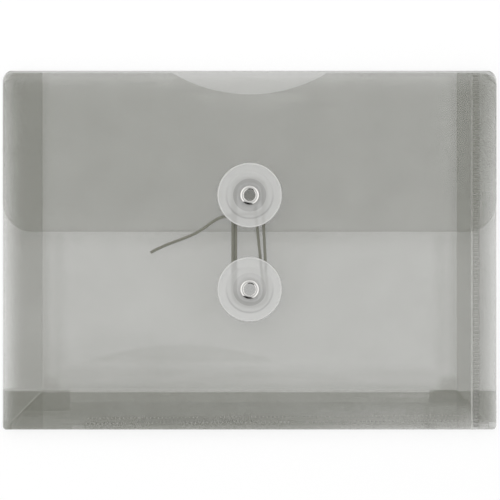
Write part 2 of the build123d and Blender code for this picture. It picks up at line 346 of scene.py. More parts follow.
def front_shade(x, y):
    """Painted shadow by the flap and round the button, painted shade at the mitres, in the lower corners and
    under the flap's eyelet, a dimmer painted sheen to the lower left, two darker patches, clearer by the
    notch.
    """
    by_flap = y.rise(FLAP_EDGE + 2, FLAP_EDGE)
    # Painted shadow of the flap on the front: under its edge, below it and, on the right, beside it.
    under_flap = 0.028 * y.rise(-2.5, 24.0)
    below_flap = 0.055 * y.rise(-4.0, 6.8) ** 2 * by_flap * (0.35 + 0.65 * x.size().rise(60, 10))
    beside_flap = 0.03 * y.rise(-12, 5) * by_flap * over_gusset(x) * on_right(x)
    first_brow = -35.6 - (x + 26) * (x + 26) * 0.0048
    first_patch = 0.03 * (first_brow - y).rise(0, 2.0) * (y + 44.5).rise(0, 3.0) * x.rise(34, 14)
    second_brow = -46.0 - (x - 8) * (x - 8) * 0.0026
    second_patch = 0.016 * (second_brow - y).rise(0, 2.0) * (y + 54.0).rise(0, 3.0)
    # Painted shadow round the front button.
    painted_button_shadow = 0.03 * radius_from(x + 4, y, -9.0).rise(34.0, 10.0)
    # Painted shade: the film's sheen is dimmer towards the lower left.
    painted_dim_sheen = 0.045 * y.rise(-25, -50) * x.rise(20, -40) + 0.006 * x.rise(0, -60)
    # Painted shade along the left mitre. On the right a darker line covers the gap between the gusset leaves.
    painted_mitre_shade = 0.05 * (x.size() + y).band(MITRE - 1.1, 0.7) * on_left(x)
    mitre_right = 0.12 * (x.size() + y).band(MITRE - 0.1, 0.8) * on_right(x) * x.rise(85.5, 84.5)
    mitres = (painted_mitre_shade + mitre_right) * (INNER_Y - y).rise(0, 0.5)
    # Painted shade inside the gussets' folds at the lower corners.
    inside_fold = x.size().rise(71, 76) * x.size().rise(80.2, 79.4)
    corner_fold_shade = inside_fold * y.rise(-47, -51) * y.rise(-54.4, -53.8) * (0.05 + 0.04 * on_right(x))
    # Painted shade on the front under the flap's eyelet, which darkens its hole.
    painted_eyelet_shade = 0.26 * radius_from(x, y, FLAP_BUTTON_Y).rise(EYELET_SHADE_OUTER, EYELET_SHADE_INNER)
    from_notch = radius_from(x, y, NOTCH_MIDDLE) - NOTCH_RADIUS
    by_notch = from_notch.rise(9.0, 1.0) * (0.028 + 0.014 * x.rise(0, 15))
    near_flap = under_flap + below_flap + beside_flap
    patches = first_patch + second_patch + painted_button_shadow + painted_dim_sheen
    corners = mitres + corner_fold_shade + 0.13 * low_corner(x, y)
    return near_flap + patches + corners + painted_eyelet_shade - by_notch


def clear_of_tuck(x):
    """0 where the right tuck lies over the fold of the bottom gusset, and 1 elsewhere."""
    return 1 - x.rise(70, 73) * x.rise(85.5, 84.5)


def fold_highlights(x, y):
    """Painted highlights of the folds below, seen through the front: two upright, one across, one slanted."""
    upright = (x.size() - 79.7).size().rise(0.7, 0.1) * y.rise(FLAP_EDGE + 0.5, FLAP_EDGE - 1)
    upright = upright * y.rise(INNER_Y - 1, INNER_Y)
    across = (y + 53.9).size().rise(0.9, 0.2) * clear_of_tuck(x)
    slant = (x.size() + y - MITRE + 0.2).size().rise(0.55, 0.2)
    slant = slant * (INNER_Y - y).rise(-0.3, 0.3) * on_left(x)
    return (0.2 * upright).greater(0.3 * across).greater(0.28 * slant)


def flap_shade(x, y):
    """The flap is a little clearer to the right."""
    return -0.008 * x.rise(-60, 60)


def flap_sides(y):
    """The painted edge highlight on the flap's sides grows towards its lower corners."""
    return 0.5 * y.rise(42, 12)


def flap_lines(x, y):
    """Two faint scores in the flap."""
    return 0.06 * (y.band(56.1, 0.4) * x.rise(-20, 30) + y.band(42.2, 0.4) * x.rise(10, -25))


film_back = film_finish("smoke_film_back", 0.16, back_shade)
film_front = film_finish("smoke_film_front", 0.16, front_shade, fold_highlights)
film_flap = film_finish("smoke_film_flap", 0.142, flap_shade, flap_lines, at_sides=flap_sides)
print("large leaves:", [m.name for m in (film_back, film_front, film_flap)])


# %% Shades of the gussets
def below_fold(y):
    """The part of the gussets below the bottom gusset's fold."""
    return y.rise(INNER_Y - 0.15, INNER_Y - 0.75)


def gusset_corner(x, y):
    """The lower corners, where the gusset is folded over itself."""
    return x.size().rise(INNER_X - SOFT, INNER_X + SOFT) * below_fold(y)


def side_gusset_shade(x, y):
    """Denser under the flap and in the corners, where it thins out downwards."""
    thinned = (0.7 + 0.15 * on_left(x)) * y.rise(-59, -68) * x.size().rise(91, 85)
    folded = (0.09 + 0.045 * on_left(x)) * gusset_corner(x, y) * (1 - thinned)
    under_flap = 0.025 * y.rise(FLAP_EDGE - 2, FLAP_EDGE + 2)
    return under_flap + folded - 0.022 * on_left(x) * y.rise(0, -40)


def bottom_gusset_shade(x, y):
    """Almost clear along the fold, a painted highlight, lighter downwards at both ends and denser below
    the left tuck.
    """
    # Painted highlight: the film is almost clear along the fold.
    at_fold = 0.105 * y.rise(-55.1, -54.6) * clear_of_tuck(x)
    below_tuck = 0.05 * x.rise(-67.0, -71.0) * y.rise(-61.0, -63.0)
    by_tab = 0.03 * x.size().band(69.0, 0.6) * y.rise(-57, -58)
    right_end = x.rise(78.5, 82) * x.rise(88.6, 87.4) * y.rise(-59, -65)
    right_end = right_end + x.rise(86, 87) * y.rise(-66.6, -67.4) + x.rise(68, 74) * y.rise(-64, -68)
    left_end = x.rise(-60, -70) * y.rise(-61, -68.5)
    right_half = 0.07 * x.rise(0, 60) * x.rise(71, 66) * y.rise(-56, -67)
    right_half = right_half + 0.03 * x.rise(45, 56) * x.rise(72, 66) * y.band(-56.2, 1.6)
    denser = 0.04 * gusset_corner(x, y) + below_tuck + by_tab
    return denser - 0.06 * (left_end + right_end) - right_half - at_fold


def tuck_shade(x, y):
    """The right tuck thins out downwards."""
    return -0.12 * x.rise(0, 10) * y.rise(-57.5, -61.5)


def strip_shade(x, y):
    """The strip is denser in the corner and towards the top, and clearer where it is welded to the front."""
    welded = x.rise(89.0, 88.6)
    denser = 0.03 * below_fold(y) * (1 - welded) + 0.04 * y.rise(30.0, 60.0)
    low_end = 0.05 * y.rise(-64.5, -67.5) * (1 - 0.5 * welded)
    return denser - 0.08 * welded - low_end


film_side_gusset = film_finish("smoke_film_side_gusset", 0.055, side_gusset_shade)
film_bottom_gusset = film_finish("smoke_film_bottom_gusset", 0.11, bottom_gusset_shade)
film_tab = film_finish("smoke_film_tab", 0.085)
film_tuck = film_finish("smoke_film_tuck", 0.15, tuck_shade)
film_mitre = film_finish("smoke_film_mitre", 0.16)
film_strip = film_finish("smoke_film_strip", 0.11, strip_shade, at_sides=0.6)

cut_edge, wire, shader = new_finish("film_cut_edge")
place = wire.node("ShaderNodeTexCoord", output="Object")
fill(shader, Base_Color=place.noise(900.0).tint((0.12, 0.12, 0.10, 1), (0.20, 0.20, 0.17, 1)),
     Alpha=0.45, Roughness=0.35, IOR=FILM_IOR)
print("film finishes:", sum(m.name.startswith("smoke") for m in bpy.data.materials))

# %% [markdown]
# ## Outlines and sheets
# A leaf of film is a flat outline with a thickness. It could be an extruded polygon, but real film never
# lies quite flat. So the outline is filled, cut by a grid of planes, let down a little between the places
# that hold it, and only then given its two faces and its cut edge.

# %% Outlines and sheets
FILM, FOLD_START = 0.3, 67.1


def arc(centre, radius, start, stop, steps=8):
    """Points on an arc, from one angle to the other in degrees."""
    angles = [radians(start + (stop - start) * i / steps) for i in range(steps + 1)]
    return [(centre[0] + radius * cos(a), centre[1] + radius * sin(a)) for a in angles]


def step_up(value, low, high):
    """0 below low, 1 above high, and a smooth step between them."""
    t = min(max((value - low) / (high - low), 0), 1)
    return t * t * (3 - 2 * t)


def add_piece(name, bm, *finishes):
    """An object at the origin from a bmesh, with its finishes."""
    mesh = bpy.data.meshes.new(name)
    bm.to_mesh(mesh)
    bm.free()
    for finish in finishes:
        mesh.materials.append(finish)
    piece = bpy.data.objects.new(name, mesh)
    scene.collection.objects.link(piece)
    return piece


def film_sheet(name, outline, holes, base, sag, finish, step=5.0):
    """A sheet of film: the outline filled and cut by a grid, sagged, with two faces and a cut edge."""
    bm = bmesh.new()
    for loop in [outline, *holes]:
        ring = [bm.verts.new((px * MM, py * MM, 0)) for px, py in loop]
        for a, b in zip(ring, ring[1:] + ring[:1]):
            bm.edges.new((a, b))
    bmesh.ops.triangle_fill(bm, edges=bm.edges[:], use_beauty=True)
    for axis, reach in ((0, HALF_WIDTH), (1, TOP_LINE)):
        count = int(2 * reach / step)
        for i in range(1, count):
            cut, way = [0, 0, 0], [0, 0, 0]
            cut[axis], way[axis] = (-reach + 2 * reach * i / count) * MM, 1
            bmesh.ops.bisect_plane(bm, geom=bm.verts[:] + bm.edges[:] + bm.faces[:], dist=1e-7,
                                   plane_co=cut, plane_no=way)
    upper = bm.faces[:]
    for face in upper:
        face.normal_update()
        if face.normal.z < 0:
            face.normal_flip()
    below = {}
    for v in bm.verts[:]:
        v.co.z = (base + FILM + sag(v.co.x / MM, v.co.y / MM)) * MM
        below[v] = bm.verts.new(v.co - Vector((0, 0, FILM * MM)))
    rim = [loop for face in upper for loop in face.loops if len(loop.edge.link_faces) == 1]
    for face in upper:
        bm.faces.new([below[v] for v in reversed(face.verts)]).smooth = True
        face.smooth = True
    for loop in rim:
        a, b = loop.vert, loop.link_loop_next.vert
        side = bm.faces.new((a, below[a], below[b], b))
        at_fold = min(a.co.y, b.co.y) > (FOLD_START - 0.01) * MM
        side.material_index = 0 if at_fold else 1
        for edge in side.edges:
            edge.smooth = False
    return add_piece(name, bm, finish, cut_edge)


print("sheet maker ready")

# %% [markdown]
# ## Back, front and flap
# The back lies flat on the table. The front and the flap sag by up to half a millimetre where nothing
# holds them, and stay flat at the creases and round their buttons. At the top the sheets stop short of
# the fold, which is a piece of its own because it bends when the flap opens.

# %% Back, front and flap
EYELET_BORE = 2.6
TOP_CORNER, BOTTOM_CORNER, FLAP_CORNER = 4.0, 1.4, 11.6
FRONT_RIGHT = 88.75
FRONT_BASE, FLAP_BASE = 6.5, 7.8
FRONT_TOP = FRONT_BASE + FILM
FRONT_SLACK, FLAP_SLACK = 0.6, 0.5
CORNER_X, CORNER_Y = HALF_WIDTH - TOP_CORNER, TOP_LINE - TOP_CORNER


def side_reach(y):
    """Half the envelope's width at a height near its rounded top corners."""
    over = max(y - CORNER_Y, 0)
    return CORNER_X + sqrt(max(TOP_CORNER**2 - over**2, 0))


def top_corner_side(sign):
    """The side of a sheet that runs up to the fold, from below on the right and from above on the left."""
    heights = [CORNER_Y + (FOLD_START - CORNER_Y) * i / 6 for i in range(7)]
    return [(sign * side_reach(h), h) for h in (heights if sign > 0 else reversed(heights))]


def slack(x, y, button_y, depth):
    """How far the film hangs below its plane: nothing at its edges and its button, most in between."""
    free = step_up(HALF_WIDTH - abs(x), 8, 34) * step_up(hypot(x, y - button_y), 14, 30)
    free *= step_up(y - BOTTOM_LINE, 16, 34) * step_up(TOP_LINE - y, 4, 20)
    ripple = 0.5 + 0.3 * sin(x / 15.0 + y / 27.0 + 0.6) + 0.2 * sin(y / 11.0 - x / 31.0 + 2.1)
    return -depth * free * ripple


low_left = arc((-HALF_WIDTH + BOTTOM_CORNER, BOTTOM_LINE + BOTTOM_CORNER), BOTTOM_CORNER, 180, 270)
low_right = arc((HALF_WIDTH - BOTTOM_CORNER, BOTTOM_LINE + BOTTOM_CORNER), BOTTOM_CORNER, 270, 360)
back_outline = low_left + low_right + top_corner_side(1) + top_corner_side(-1)
back = film_sheet("back_film", back_outline, [], 0, lambda x, y: 0, film_back)

notch_half = degrees(atan2(NOTCH_WIDTH / 2, NOTCH_MIDDLE - MOUTH))
notch = arc((0, NOTCH_MIDDLE), NOTCH_RADIUS, 270 + notch_half, 270 - notch_half, 40)
left_shoulder = arc((-CORNER_X, MOUTH - TOP_CORNER), TOP_CORNER, 90, 180)
front_outline = low_left + [(FRONT_RIGHT, BOTTOM_LINE), (FRONT_RIGHT, MOUTH)] + notch + left_shoulder
front_hole = arc((0, FRONT_BUTTON_Y), EYELET_BORE, 0, 345, 23)
front = film_sheet("front_film", front_outline, [front_hole], FRONT_BASE,
                   lambda x, y: slack(x, y, FRONT_BUTTON_Y, FRONT_SLACK), film_front)

flap_left = arc((-HALF_WIDTH + FLAP_CORNER, FLAP_EDGE + FLAP_CORNER), FLAP_CORNER, 180, 270, 14)
flap_right = arc((HALF_WIDTH - FLAP_CORNER, FLAP_EDGE + FLAP_CORNER), FLAP_CORNER, 270, 360, 14)
flap_hole = arc((0, FLAP_BUTTON_Y), EYELET_BORE, 0, 345, 23)
flap = film_sheet("flap_film", flap_left + flap_right + top_corner_side(1) + top_corner_side(-1),
                  [flap_hole], FLAP_BASE, lambda x, y: slack(x, y, FLAP_BUTTON_Y, FLAP_SLACK), film_flap)

for piece, body, node in ((back, "back", "back_panel"), (front, "front", "front_panel"),
                          (flap, "flap", "flap_panel")):
    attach(piece, body)
    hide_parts(node)
    print(piece.name, len(piece.data.polygons), "faces")

# %% [markdown]
# ## The fold over the top
# The flap goes over the top in one round fold. It bends at the back's crease, grows as the pocket fills,
# and bends again where the flap begins, so it is three pieces. Each is a profile swept across the width.
# The finish reads the piece's own map, because the mesh itself bends.

# %% The fold over the top
FOLD_RADIUS = 2.0
FOLD_MIDDLE = FILM / 2
FLAP_MIDDLE = FLAP_BASE + FILM / 2
FOLD_Y = FOLD_START + FOLD_RADIUS
ACROSS = 40


def fold_piece(name, profile, finish):
    """A profile of (y, z, angle of its outward normal), swept across the envelope as film."""
    bm = bmesh.new()
    walls = []
    for offset in (FILM / 2, -FILM / 2):
        rows = []
        for py, pz, angle in profile:
            reach = side_reach(py)
            rows.append([bm.verts.new((reach * (2 * i / ACROSS - 1) * MM, (py + offset * cos(angle)) * MM,
                                       (pz + offset * sin(angle)) * MM)) for i in range(ACROSS + 1)])
        walls.append(rows)
    outer, inner = walls
    last = len(profile) - 1
    for r in range(last):
        for i in range(ACROSS):
            bm.faces.new((outer[r][i], outer[r][i + 1], outer[r + 1][i + 1], outer[r + 1][i])).smooth = True
            bm.faces.new((inner[r][i], inner[r + 1][i], inner[r + 1][i + 1], inner[r][i + 1])).smooth = True
    for r in range(last):
        for k in (0, ACROSS):
            bm.faces.new((outer[r][k], outer[r + 1][k], inner[r + 1][k], inner[r][k])).material_index = 1
    for i in range(ACROSS):
        for r in (0, last):
            bm.faces.new((outer[r][i], outer[r][i + 1], inner[r][i + 1], inner[r][i]))
    bmesh.ops.recalc_face_normals(bm, faces=bm.faces[:])
    chart = bm.loops.layers.uv.new("UVMap")
    run = [0.0]
    for (ay, az, _), (by, bz, _) in zip(profile, profile[1:]):
        run.append(run[-1] + hypot(by - ay, bz - az))
    row_of = {v: r for rows in walls for r, row in enumerate(rows) for v in row}
    for face in bm.faces:
        for loop in face.loops:
            loop[chart].uv = (loop.vert.co.x, run[row_of[loop.vert]] * MM)
    return add_piece(name, bm, finish, cut_edge)


print("fold maker ready")

# %% Fold pieces
film_fold, wire, shader = new_finish("smoke_film_fold")
chart = wire.node("ShaderNodeTexCoord", output="UV")
fold_mottle, fold_grain = chart.noise(MOTTLE_SCALE, 3.0), chart.noise(GRAIN_SCALE)
fold_x = wire.node("ShaderNodeSeparateXYZ", None, {0: chart}) * 1000
# Painted shadow: the fold is darker and a little denser where it passes over the gussets.
fold_shadow_over_gussets = over_gusset(fold_x)
fill(shader, Base_Color=(0.6 * fold_shadow_over_gussets + 0.2 * fold_mottle).tint((0.30, 0.30, 0.26, 1), SMOKE),
     Alpha=0.15 + 0.01 * fold_shadow_over_gussets, Roughness=0.30 + 0.12 * fold_grain, IOR=FILM_IOR)

FOLD_STEPS, WALL_STEPS = 10, 6
lower_profile, upper_profile = [], []
for i in range(FOLD_STEPS + 1):
    turn = pi / 2 * i / FOLD_STEPS
    lower_profile.append((FOLD_START + FOLD_RADIUS * sin(turn),
                          FOLD_MIDDLE + FOLD_RADIUS * (1 - cos(turn)), turn - pi / 2))
    upper_profile.append((FOLD_START + FOLD_RADIUS * cos(turn),
                          FLAP_MIDDLE - FOLD_RADIUS * (1 - sin(turn)), turn))
spine_low, spine_high = FOLD_MIDDLE + FOLD_RADIUS, FLAP_MIDDLE - FOLD_RADIUS
middle_profile = [(FOLD_Y, spine_low + (spine_high - spine_low) * i / WALL_STEPS, 0)
                  for i in range(WALL_STEPS + 1)]

for name, profile, first, second, start, end in (
    ("flap_fold_low", lower_profile, "back", "flap_spine", (FOLD_START, FOLD_MIDDLE), (FOLD_Y, spine_low)),
    ("flap_fold_wall", middle_profile, "flap_spine", "flap_fold", (FOLD_Y, spine_low), (FOLD_Y, spine_high)),
    ("flap_fold_high", upper_profile, "flap_fold", "flap", (FOLD_Y, spine_high), (FOLD_START, FLAP_MIDDLE)),
):
    piece = fold_piece(name, profile, film_fold)
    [v * MM for v in start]
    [v * MM for v in end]
    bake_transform(piece)
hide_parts("flap_spine")
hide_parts("flap_fold_strip")

# %% [markdown]
# ## Gussets
# The gusset leaves are plain flat film, so their CAD solids are right as they are and only take the
# finish. The tab and the corner tucks are thinner laps inside the pocket.

# %% Gussets
for name, node in nodes.items():
    if "bottom_gusset" in name:
        node.data.materials[0] = film_bottom_gusset
    elif "gusset" in name:
        node.data.materials[0] = film_side_gusset
    elif "tuck" in name:
        node.data.materials[0] = film_tuck
    elif name == "bottom_seam_tab":
        node.data.materials[0] = film_tab
print("gusset leaves finished")

# %% [markdown]
# ## Creases of the gussets
# Folded film doesn't meet in a knife edge. It rolls over in a narrow whitened bead, which shows in the
# photograph as a pale line at each fold. Each bead is a slim rod along its crease.

# %% Creases of the gussets
INNER_Z = 3.4
BEAD, BEAD_INSET = 0.28, 0.2
MITRE_BEAD, MITRE_LOW, MITRE_DROP, MITRE_LIFT = 0.2, 2.9, 0.85, 0.35

crease_bead, wire, shader = new_finish("crease_bead")
place = wire.node("ShaderNodeTexCoord", output="Object")
fill(shader, Base_Color=place.noise(400.0, 3.0).tint((0.66, 0.66, 0.63, 1), (0.84, 0.84, 0.81, 1)),
     Alpha=0.01 + 0.04 * place.noise(160.0), Roughness=0.38, IOR=FILM_IOR)


def bead_rod(name, start, end, radius, finish=crease_bead, sides=8, rings=24):
    """A slim rod from one point to the other, a little uneven along its length."""
    start, end = Vector(start) * MM, Vector(end) * MM
    along = (end - start).normalized()
    first = along.cross((0, 0, 1)).normalized()
    second = along.cross(first)
    bm = bmesh.new()
    rows = []
    for r in range(rings + 1):
        middle = start.lerp(end, r / rings)
        thick = radius * MM * (0.95 + 0.05 * sin(r * 2.3))
        rows.append([bm.verts.new(middle + thick * (cos(2 * pi * k / sides) * first
                                                    + sin(2 * pi * k / sides) * second))
                     for k in range(sides)])
    for a, b in zip(rows, rows[1:]):
        for k in range(sides):
            bm.faces.new((a[k], b[k], b[k - 1], a[k - 1])).smooth = True
    bm.faces.new(rows[0])
    bm.faces.new(rows[-1])
    bmesh.ops.recalc_face_normals(bm, faces=bm.faces[:])
    return add_piece(name, bm, finish)


def gusset_beads(side, outer, inner):
    """The beads of one gusset: on its rear crease, on its inner fold and on its front crease."""
    rear, front = f"{side}_gusset_rear", f"{side}_gusset_front"
    for name, ends, level, half, first, second in (
        ("rear", outer, FILM, FILM, "back", rear), ("fold", inner, INNER_Z, BEAD, rear, front),
        ("front", outer, FRONT_BASE, FILM, front, "front"),
    ):
        bead = bead_rod(f"{side}_{name}_bead", (*ends[0], level), (*ends[1], level), BEAD)
        # Of the front creases only the left one is a joint.
        if name == "front" and side != "left":
            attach(bead, "front")
        else:
            (level - half) * MM
            (level + half) * MM
            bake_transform(bead)


outer_x, outer_y, reach = HALF_WIDTH - BEAD, BOTTOM_LINE + BEAD, HALF_WIDTH - BOTTOM_CORNER
inner_x, inner_y = INNER_X + BEAD_INSET, INNER_Y - BEAD_INSET
low_y, high_y = BOTTOM_LINE + BOTTOM_CORNER, MOUTH - TOP_CORNER
for side, sign in (("left", -1), ("right", 1)):
    gusset_beads(side, [(sign * outer_x, low_y), (sign * outer_x, high_y)],
                 [(sign * inner_x, INNER_Y), (sign * inner_x, MOUTH)])
gusset_beads("bottom", [(-reach, outer_y), (reach, outer_y)], [(-INNER_X, inner_y), (INNER_X, inner_y)])
for side, sign in (("left", -1), ("right", 1)):
    low_end = (sign * (HALF_WIDTH - MITRE_LOW), BOTTOM_LINE + MITRE_LOW, FRONT_BASE - MITRE_DROP)
    high_end = (sign * (INNER_X + BEAD_INSET / 2), INNER_Y, INNER_Z + MITRE_LIFT)
    mitre = bead_rod(f"{side}_mitre_bead", low_end, high_end, MITRE_BEAD, film_mitre)
    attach(mitre, f"{side}_gusset_front")

# %% [markdown]
# ## Side seam
# The right gusset's lip laps onto the front panel and is welded there by a toothed bar, which leaves a
# ladder of pressed rungs and a melted bead along the cut edge. The strip is a section swept along the
# seam. The rungs repeat, so Geometry Nodes make them.

# %% Side seam strip
SEAM_EDGE, STRIP_TOP = 85.45, FRONT_TOP + FILM
STRIP_SHORT = 0.6
STEP_FOOT, STEP_RUN = 88.85, 0.4
LAY = 0.02
STRIP_ROWS, STRIP_CUTS = 40, 8
strip_section = [
    (SEAM_EDGE, FRONT_TOP + LAY), (STEP_FOOT, FRONT_TOP + LAY), (STEP_FOOT + STEP_RUN, FRONT_BASE),
    (HALF_WIDTH, FRONT_BASE), (HALF_WIDTH, FRONT_TOP), (STEP_FOOT + 1.5 * STEP_RUN, FRONT_TOP),
    (STEP_FOOT + 0.5 * STEP_RUN, STRIP_TOP), (SEAM_EDGE + 0.55, STRIP_TOP),
    (SEAM_EDGE + 0.42, STRIP_TOP + 0.10), (SEAM_EDGE + 0.24, STRIP_TOP + 0.13),
    (SEAM_EDGE + 0.06, STRIP_TOP + 0.08), (SEAM_EDGE, STRIP_TOP - 0.04),
]
BEAD_FACES = range(7, 12)

seam_bead, wire, shader = new_finish("seam_bead")
place = wire.node("ShaderNodeTexCoord", output="Object")
fill(shader, Base_Color=place.noise(700.0).tint((0.70, 0.70, 0.67, 1), (0.90, 0.90, 0.87, 1)),
     Alpha=0.30 + 0.35 * place.noise(500.0), Roughness=0.3, IOR=FILM_IOR)


def strip_ends(x):
    """Where the strip starts and ends at a place across it, with its rounded outer corners."""
    over_top, over_bottom = max(x - CORNER_X, 0), max(x - (HALF_WIDTH - BOTTOM_CORNER), 0)
    top = MOUTH - STRIP_SHORT - TOP_CORNER + sqrt(max(TOP_CORNER**2 - over_top**2, 0))
    bottom = BOTTOM_LINE + BOTTOM_CORNER - sqrt(max(BOTTOM_CORNER**2 - over_bottom**2, 0))
    return bottom, top


section = []
for k, (a, b) in enumerate(zip(strip_section, strip_section[1:] + strip_section[:1])):
    cuts = STRIP_CUTS if abs(b[0] - a[0]) > TOP_CORNER else 1
    for i in range(cuts):
        section.append((a[0] + (b[0] - a[0]) * i / cuts, a[1] + (b[1] - a[1]) * i / cuts, k in BEAD_FACES))
bm = bmesh.new()
rows = []
for r in range(STRIP_ROWS + 1):
    row = []
    for px, pz, _ in section:
        bottom, top = strip_ends(px)
        row.append(bm.verts.new((px * MM, (bottom + (top - bottom) * r / STRIP_ROWS) * MM, pz * MM)))
    rows.append(row)
count = len(section)
for low, high in zip(rows, rows[1:]):
    for k in range(count):
        face = bm.faces.new((low[k], low[(k + 1) % count], high[(k + 1) % count], high[k]))
        face.material_index = 1 if section[k][2] else 0
bm.faces.new(rows[0])
bm.faces.new(rows[-1])
bmesh.ops.recalc_face_normals(bm, faces=bm.faces[:])
strip = add_piece("side_seam_lip", bm, film_strip, seam_bead)
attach(strip, "front")
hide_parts("side_seam_strip")
print("seam strip:", len(strip.data.polygons), "faces")

# %% [markdown]
# ## Weld marks
# The welding bars leave rows of small pressed marks: the ladder of dark rungs and pale ridges on the side
# seam, and two rows of pale dots along the bottom, with dark streaks between them on a short stretch. One
# node tree makes a row of marks: points on a line, a flattened bead on each, made real and given its
# finish. The rows differ only in the tree's inputs. The marks are fine and faint, so their finishes are
# close to the film's tone and fairly dense, rather than black and white and almost clear.

# %% Tree of weld marks
tree = bpy.data.node_groups.new("row_of_weld_marks", "GeometryNodeTree")
wanted = (("Start", "NodeSocketVector"), ("Step", "NodeSocketVector"), ("Count", "NodeSocketInt"),
          ("Mark Size", "NodeSocketVector"), ("Finish", "NodeSocketMaterial"))
for label, kind in wanted:
    tree.interface.new_socket(label, in_out="INPUT", socket_type=kind)
tree.interface.new_socket("Marks", in_out="OUTPUT", socket_type="NodeSocketGeometry")
given = tree.nodes.new("NodeGroupInput")
row = tree.nodes.new("GeometryNodeMeshLine")
mark = tree.nodes.new("GeometryNodeMeshUVSphere")
for label, value in (("Segments", 10), ("Rings", 6), ("Radius", 0.5)):
    mark.inputs[label].default_value = value
spread = tree.nodes.new("GeometryNodeInstanceOnPoints")
real = tree.nodes.new("GeometryNodeRealizeInstances")
dress = tree.nodes.new("GeometryNodeSetMaterial")
result = tree.nodes.new("NodeGroupOutput")
for source, output, target, socket in (
    (given, "Start", row, "Start Location"), (given, "Step", row, "Offset"), (given, "Count", row, "Count"),
    (row, "Mesh", spread, "Points"), (mark, "Mesh", spread, "Instance"),
    (given, "Mark Size", spread, "Scale"), (spread, "Instances", real, "Geometry"),
    (real, "Geometry", dress, "Geometry"), (given, "Finish", dress, "Material"),
    (dress, "Geometry", result, "Marks"),
):
    tree.links.new(source.outputs[output], target.inputs[socket])
sockets = {s.name: s.identifier for s in tree.interface.items_tree if s.in_out == "INPUT"}
print("weld tree:", len(tree.nodes), "nodes")


# %% Rows of weld marks
def weld_row(name, body, finish, start, step, count, size):
    """A row of weld marks as a plain mesh that rides on a body. Sizes are in millimetres."""
    holder = bpy.data.objects.new(name + "_maker", bpy.data.meshes.new(name + "_maker"))
    scene.collection.objects.link(holder)
    maker = holder.modifiers.new("marks", "NODES")
    maker.node_group = tree
    for label, value in (("Start", start), ("Step", step), ("Mark Size", size)):
        maker[sockets[label]] = [v * MM for v in value]
    maker[sockets["Count"]] = count
    maker[sockets["Finish"]] = finish
    mesh = bpy.data.meshes.new_from_object(holder.evaluated_get(bpy.context.evaluated_depsgraph_get()))
    holder.modifiers.remove(maker)
    bpy.data.objects.remove(holder)
    mesh.name = name
    mesh.shade_smooth()
    piece = bpy.data.objects.new(name, mesh)
    scene.collection.objects.link(piece)
    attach(piece, body)
    print(name, count, "marks,", len(mesh.polygons), "faces")


def weld_finish(name, on_seam, on_fold):
    """A pressed mark, a little off the tone of the film that it is in, on the side seam and lower down."""
    material, wire, shader = new_finish(name)
    place, _, y = place_of(wire)
    strength = place.noise(50.0, 1.0).rise(0.3, 0.7)
    fill(shader, Base_Color=y.rise(INNER_Y + 1, INNER_Y - 1).tint(on_seam, on_fold),
         Alpha=0.35 + 0.25 * strength, Roughness=0.35, IOR=FILM_IOR)
    return material


dark_weld = weld_finish("pressed_weld", (0.50, 0.50, 0.465, 1), (0.34, 0.34, 0.315, 1))
pale_weld = weld_finish("raised_weld", (0.63, 0.63, 0.595, 1), (0.46, 0.46, 0.43, 1))
WELD_PITCH, DOT_SLOPE = 1.5, 0.0118
LADDER_X, LADDER_LOW = 87.3, -67.8
DOTS_LEFT, LOW_DOTS, HIGH_DOTS = -88.5, -67.2, -65.1
STREAKS_LEFT, STREAKS_MIDDLE = DOTS_LEFT + 30.5 * WELD_PITCH, -65.9
up, along_fold = (0, WELD_PITCH, 0), (WELD_PITCH, DOT_SLOPE, 0)
for name, finish, start, step, count, size in (
    ("ladder_rungs", dark_weld, (LADDER_X, LADDER_LOW, STRIP_TOP), up, 91, (2.5, 0.7, 0.16)),
    ("ladder_ridges", pale_weld, (LADDER_X, LADDER_LOW + WELD_PITCH / 2, STRIP_TOP), up, 90,
     (2.5, 0.5, 0.14)),
    ("bottom_dots_low", pale_weld, (DOTS_LEFT, LOW_DOTS, FRONT_TOP), along_fold, 115, (0.62, 0.62, 0.14)),
    ("bottom_dots_high", pale_weld, (DOTS_LEFT + WELD_PITCH / 2, HIGH_DOTS, FRONT_TOP), along_fold, 115,
     (0.40, 0.50, 0.14)),
    ("bottom_streaks", dark_weld, (STREAKS_LEFT, STREAKS_MIDDLE, FRONT_TOP), along_fold, 30,
     (0.6, 1.6, 0.12)),
):
    weld_row(name, "front", finish, start, step, count, size)

# %% [markdown]
# ## Buttons
# A button is a frosted disc on a hub, with a clear washer behind the film and an eyelet through all of
# them. They are turned shapes, so each is a profile spun round the eyelet's axis. The disc has a raised
# rim and a shallow ring where the mould stepped. The eyelet's flange is rolled over, and its lower end
# is clinched.

# %% Turned pieces
SPIN, SHARP_FROM = 96, 40


def turned(name, profile, centre_y, finish):
    """A closed profile of (radius, height) spun round an upright axis."""
    bm = bmesh.new()
    rings = []
    for r, h in profile:
        rings.append([bm.verts.new((r * cos(2 * pi * k / SPIN) * MM,
                                    (centre_y + r * sin(2 * pi * k / SPIN)) * MM, h * MM))
                      for k in range(SPIN)])
    for a, b in zip(rings, rings[1:] + rings[:1]):
        for k in range(SPIN):
            bm.faces.new((a[k], a[k - 1], b[k - 1], b[k])).smooth = True
    bmesh.ops.recalc_face_normals(bm, faces=bm.faces[:])
    piece = add_piece(name, bm, finish)
    piece.data.set_sharp_from_angle(angle=radians(SHARP_FROM))
    return piece


